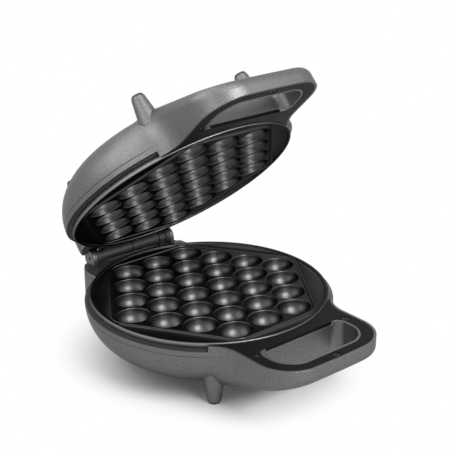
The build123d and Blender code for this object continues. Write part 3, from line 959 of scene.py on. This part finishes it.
@dataclass
class CookingPlate:
    """The non-stick casting of one half: rim, hexagon ridge and the field of egg-shaped cells.

    Its top is made here with rounded lips. Its back comes from the CAD solid, and its upright outer
    wall takes the coating painted lighter, as painted light.
    """

    half: Half
    radius: float = 96.0
    top: float = -0.25
    bottom: float = -4.85
    margin_level: float = -1.75
    web_level: float = -1.35
    rim_width: float = 2.6
    rim_round: float = 0.7
    foot_round: float = 0.1
    pitch: float = 30.0
    row_pitch: float = 22.701
    longest_row: int = 6
    cell_half_length: float = 13.6
    cell_half_width: float = 12.2
    cell_depth: float = 12.2
    lip: float = 0.7
    lip_share: float = 0.25
    ridge_out: float = 16.0
    ridge_corner: float = 12.0
    ridge_half_width: float = 1.1
    ridge_round: float = 0.5
    ridge_foot: float = 0.2
    corner_steps: int = 12
    cell_steps: int = 16
    segments: int = 44
    top_above: float = 0.005
    top_tilt: float = 0.01
    cad_weld: float = 0.001
    cell_weld: float = 0.002
    weld: float = 0.003
    edge_tilt: float = 0.4
    smooth_angle: float = 40.0

    def ridge_loop(self, grow: float, level: float) -> list[Vector]:
        """Return the rounded hexagon that the ridge follows.

        Args:
            grow: How far the loop lies outside the ridge's centre line.
            level: Its height.

        Returns:
            The points of the loop.
        """
        end_x = (self.longest_row - self.longest_row // 2 - 1) / 2 * self.pitch
        side_x = (self.longest_row - 1) / 2 * self.pitch
        end_y = self.longest_row // 2 * self.row_pitch
        corners = [Vector(place) for place in (
            (side_x, 0), (end_x, end_y), (-end_x, end_y),
            (-side_x, 0), (-end_x, -end_y), (end_x, -end_y))]
        inner = self.ridge_out - self.ridge_corner
        reach = self.ridge_corner + grow
        points = []
        for before, here, after in zip(corners[-1:] + corners[:-1], corners,
                                       corners[1:] + corners[:1]):
            enter, leave = (here - before).normalized(), (after - here).normalized()
            first, last = Vector((enter.y, -enter.x)), Vector((leave.y, -leave.x))
            centre = here + (first + last) * inner / (1 + first.dot(last))
            start, sweep = math.atan2(first.y, first.x), first.angle(last)
            for step in range(self.corner_steps + 1):
                angle = start + sweep * step / self.corner_steps
                points.append(Vector((centre.x + reach * math.cos(angle),
                                      centre.y + reach * math.sin(angle), level)))
        return points

    def _web_outline(self) -> bpy.types.Mesh:
        """Return the outline of the web inside the ridge.

        Returns:
            A mesh of one closed loop of edges.
        """
        shape = Shape()
        loop = shape.loop(self.ridge_loop(-self.ridge_half_width - self.ridge_foot, 0.0))
        for one, two in zip(loop, loop[1:] + loop[:1]):
            shape.bm.edges.new((one, two))
        outline = bpy.data.meshes.new("cell_field_outline")
        shape.bm.to_mesh(outline)
        shape.bm.free()
        return outline

    def cell_field(self, material: bpy.types.Material) -> bpy.types.Mesh:
        """Grow the web and its cells inside the ridge's inner outline.

        Args:
            material: The material to give it.

        Returns:
            The field, with the web at z = 0.
        """
        make = Grower("cell_field", self, "pitch", "row_pitch", "longest_row",
                      "cell_half_length", "cell_half_width", "cell_depth", "lip")
        places = self._cell_places(make)
        cells = make.node("GeometryNodeInstanceOnPoints", None,
                          {"Points": places, "Instance": self._bowl(make)})
        ring = make.node("GeometryNodeCurvePrimitiveCircle", None,
                         {"Resolution": self.segments, "Radius": 1.0})
        lip = make.given("lip")
        size = make.point(make.given("cell_half_length") + lip,
                          make.given("cell_half_width") + lip, 1.0)
        oval = make.node("GeometryNodeTransform", None, {"Geometry": ring, "Scale": size})
        ovals = make.node("GeometryNodeInstanceOnPoints", None,
                          {"Points": places, "Instance": oval})
        flat_ovals = make.node("GeometryNodeRealizeInstances", None, {"Geometry": ovals})
        outline = make.node("GeometryNodeMeshToCurve", None, {"Mesh": make.given("Geometry")})
        web = make.node("GeometryNodeFillCurve", None, {"Curve": make.both(outline, flat_ovals)})
        make.end(make.both(cells, web), material, self.cell_weld)
        return make.grow(self._web_outline())

    def _cell_places(self, make: Grower) -> Sock:
        """Lay out the cells in staggered rows that grow shorter from the middle.

        Args:
            make: The tree to add the nodes to.

        Returns:
            One point for each cell.
        """
        pitch, row_pitch = make.given("pitch"), make.given("row_pitch")
        longest = make.given("longest_row")
        columns, rows = 2 * self.longest_row - 1, 2 * (self.longest_row // 2) + 1
        grid = make.node("GeometryNodeMeshGrid", None,
                         {"Size X": pitch * ((columns - 1) / 2), "Size Y": row_pitch * (rows - 1),
                          "Vertices X": columns, "Vertices Y": rows})
        here = make.node("GeometryNodeInputPosition")
        column = make.maths("ROUND", make.part(here, "X") / (pitch / 2))
        row = make.maths("ROUND", make.part(here, "Y") / row_pitch)
        reach = make.maths("ABSOLUTE", column) + make.maths("ABSOLUTE", row)
        odd = make.maths("MODULO", make.maths("ABSOLUTE", column + row + longest - 1), 2.0)
        spare = (odd > 0.5) + (reach > longest - 0.5)
        kept = make.node("GeometryNodeDeleteGeometry", {"domain": "POINT"},
                         {"Geometry": grid, "Selection": spare > 0.5})
        return make.node("GeometryNodeMeshToPoints", None, {"Mesh": kept})

    def _bowl(self, make: Grower) -> Sock:
        """Wrap a grid into one cell: a rounded lip, then an egg-shaped bowl.

        Args:
            make: The tree to add the nodes to.

        Returns:
            The cell, with the web at z = 0.
        """
        grid, down, around = make.unit_grid(self.cell_steps, self.segments)
        lip, depth = make.given("lip"), make.given("cell_depth")
        over_lip = make.maths("MINIMUM", down / self.lip_share, 1.0) * (math.pi / 2)
        start = make.maths("ARCSINE", lip / depth)
        into = make.maths("MAXIMUM", (down - self.lip_share) / (1 - self.lip_share), 0.0)
        dip = start + into * (math.pi / 2 - start)
        out = lip * (1 - make.maths("SINE", over_lip))
        level = lip * (make.maths("COSINE", over_lip) - 1) - (depth * make.maths("SINE", dip) - lip)
        shrink = make.maths("COSINE", dip) / make.maths("COSINE", start)
        return make.wrapped(grid, around, make.given("cell_half_length") * shrink + out,
                            make.given("cell_half_width") * shrink + out, level)

    def back(self) -> tuple[Shape, Loop]:
        """Take the CAD casting's back and outer wall.

        Returns:
            The casting without its top, and the loop where the new top joins it.
        """
        shape = Shape(frame["nodes"][f"{self.half.prefix}_cooking_plate"].data)
        bmesh.ops.transform(shape.bm, matrix=self.half.matrix.inverted(), verts=shape.bm.verts)
        bmesh.ops.remove_doubles(shape.bm, verts=shape.bm.verts, dist=self.cad_weld)
        shape.bm.normal_update()
        top = [face for face in shape.bm.faces
               if face.calc_center_median().z > self.bottom + self.top_above
               or face.normal.z > self.top_tilt]
        bmesh.ops.delete(shape.bm, geom=top, context="FACES")
        rim = [vert for vert in shape.bm.verts if vert.is_boundary]
        rim.sort(key=lambda vert: math.atan2(vert.co.y, vert.co.x))
        return shape, rim

    def rim_profile(self) -> Profile:
        """Shape the rim from the outer wall to the margin.

        Returns:
            The radius and level of each loop.
        """
        inner = self.radius - self.rim_width
        return [*corner_round(self.radius, self.top, self.rim_round),
                *reversed(corner_round(inner, self.top, self.rim_round, -1.0)),
                (inner, self.margin_level + self.foot_round),
                (inner - self.foot_round, self.margin_level)]

    def ridge_profile(self) -> Profile:
        """Shape the ridge from its outer to its inner foot.

        Returns:
            How far out and how high each loop is.
        """
        half, foot = self.ridge_half_width, self.ridge_foot
        outer = corner_round(half, self.top, self.ridge_round)
        inner = [(-out, level) for out, level in reversed(outer)]
        return [(half + foot, self.margin_level), (half, self.margin_level + foot), *outer, *inner,
                (-half, self.web_level + foot), (-half - foot, self.web_level)]

    def build(self, finishes: Finishes) -> None:
        """Make the piece and put it in place of the CAD casting.

        Args:
            finishes: The materials in use.
        """
        material = finishes.of(Slot.NONSTICK_CASTING)
        shape, rim = self.back()
        angles = [math.atan2(vert.co.y, vert.co.x) for vert in rim]
        loops = [rim]
        for radius, level in self.rim_profile():
            loops.append(shape.loop(Vector((radius * math.cos(a), radius * math.sin(a), level))
                                    for a in angles))
        shape.skin(loops)
        ridge = [shape.loop(self.ridge_loop(out, level)) for out, level in self.ridge_profile()]
        shape.skin(ridge)
        shape.sheet(loops[-1], ridge[0])
        field = self.cell_field(material)
        field.transform(Matrix.Translation((0, 0, self.web_level)))
        shape.bm.from_mesh(field)
        mesh = shape.mesh(f"{self.half.prefix}_cooking_plate_dressed", self.weld,
                          material, finishes.of(Slot.PAINTED_LIGHT_EDGE))
        # Painted light: the upright outer wall takes the lighter copy of the coating.
        for face in mesh.polygons:
            outside = face.center.to_2d().length > self.radius - self.rim_round
            face.material_index = int(outside and face.normal.z < self.edge_tilt)
        smooth_by_angle(mesh, self.smooth_angle)
        self.half.place("cooking_plate", mesh, Slot.NONSTICK_CASTING)


@dataclass
class CoverScrews:
    """The three cross-head screws that hold one handle cover, sunk in its bores."""

    half: Half
    head_radius: float = 2.8
    head_height: float = 1.3
    head_crown: float = 0.35
    head_top: float = -1.4
    shank_radius: float = 1.4
    shank_bottom: float = -8.2
    recess_length: float = 3.4
    recess_width: float = 0.8
    recess_depth: float = 0.9
    side_x: float = 46.0
    side_y: float = -108.4
    front_y: float = -144.3
    crown_steps: int = 10
    segments: int = 40
    shank_segments: int = 24
    turn_seed: int = 7
    head_weld: float = 0.001
    weld: float = 0.0005
    smooth_angle: float = 35.0

    def _head(self, make: Grower) -> Sock:
        """Wrap a grid into one crowned head.

        Along the grid lie the underside from 0 to 1, the side from 1 to 2, and then the crown.

        Args:
            make: The tree to add the nodes to.

        Returns:
            The head without its recess.
        """
        steps = self.crown_steps + 2
        grid, share, around = make.unit_grid(steps, self.segments)
        along = share * steps
        radius, crown = make.given("head_radius"), make.given("head_crown")
        top = make.given("head_top")
        low, shoulder = top - make.given("head_height"), top - crown
        rise = make.maths("MAXIMUM", along - 2, 0.0) / self.crown_steps * (math.pi / 2)
        wide = make.maths("MINIMUM", along, 1.0) * make.maths("COSINE", rise)
        lift = make.maths("MINIMUM", make.maths("MAXIMUM", along - 1, 0.0), 1.0)
        level = low + lift * (shoulder - low) + crown * make.maths("SINE", rise)
        head = make.wrapped(grid, around, radius * wide, radius * wide, level)
        return make.node("GeometryNodeMergeByDistance", None,
                         {"Geometry": head, "Distance": self.head_weld})

    def _screw(self, make: Grower) -> Sock:
        """Build one screw: a head with a cross recess, and its shank.

        Args:
            make: The tree to add the nodes to.

        Returns:
            The screw on the Z axis.
        """
        length, width = make.given("recess_length"), make.given("recess_width")
        depth, top = make.given("recess_depth"), make.given("head_top")
        cut = self._head(make)
        for one, two in ((length, width), (width, length)):
            bar = make.node("GeometryNodeMeshCube", None, {"Size": make.point(one, two, depth * 2)})
            cut = make.node("GeometryNodeMeshBoolean", {"operation": "DIFFERENCE"},
                            {"Mesh 1": cut, "Mesh 2": make.raised(bar, top)})
        low = top - make.given("head_height")
        tall = low - make.given("shank_bottom")
        shank = make.node("GeometryNodeMeshCylinder", None,
                          {"Vertices": self.shank_segments, "Radius": make.given("shank_radius"),
                           "Depth": tall})
        return make.both(cut, make.raised(shank, low - tall / 2))

    def build(self, finishes: Finishes) -> None:
        """Make the piece and put it in place of the CAD screws.

        Args:
            finishes: The materials in use.
        """
        make = Grower("cover_screws", self, "head_radius", "head_height", "head_crown", "head_top",
                      "shank_radius", "shank_bottom", "recess_length", "recess_width",
                      "recess_depth")
        points = make.node("GeometryNodeMeshToPoints", None, {"Mesh": make.given("Geometry")})
        turn = make.node("FunctionNodeRandomValue", {"data_type": "FLOAT"},
                         {"Min": 0.0, "Max": math.tau, "Seed": self.turn_seed}, out=1)
        screws = make.node("GeometryNodeInstanceOnPoints", None,
                           {"Points": points, "Instance": self._screw(make),
                            "Rotation": make.point(0.0, 0.0, turn)})
        make.end(screws, finishes.of(Slot.DARK_STEEL), self.weld)
        places = bpy.data.meshes.new("cover_screw_places")
        places.from_pydata([(self.side_x, self.side_y, 0), (-self.side_x, self.side_y, 0),
                            (0, self.front_y, 0)], [], [])
        mesh = make.grow(places)
        smooth_by_angle(mesh, self.smooth_angle)
        self.half.place("cover_screws", mesh, Slot.DARK_STEEL)


def main() -> None:
    """Build the studio and dress the waffle maker."""
    logging.basicConfig(level=logging.INFO, format="%(name)s: %(message)s")
    finishes = Finishes()
    Studio().build()
    finishes.dress_frame()
    for half in HALVES:
        CookingPlate(half).build(finishes)
        CoverScrews(half).build(finishes)
    bpy.context.view_layer.update()


if __name__ == "__main__":
    main()
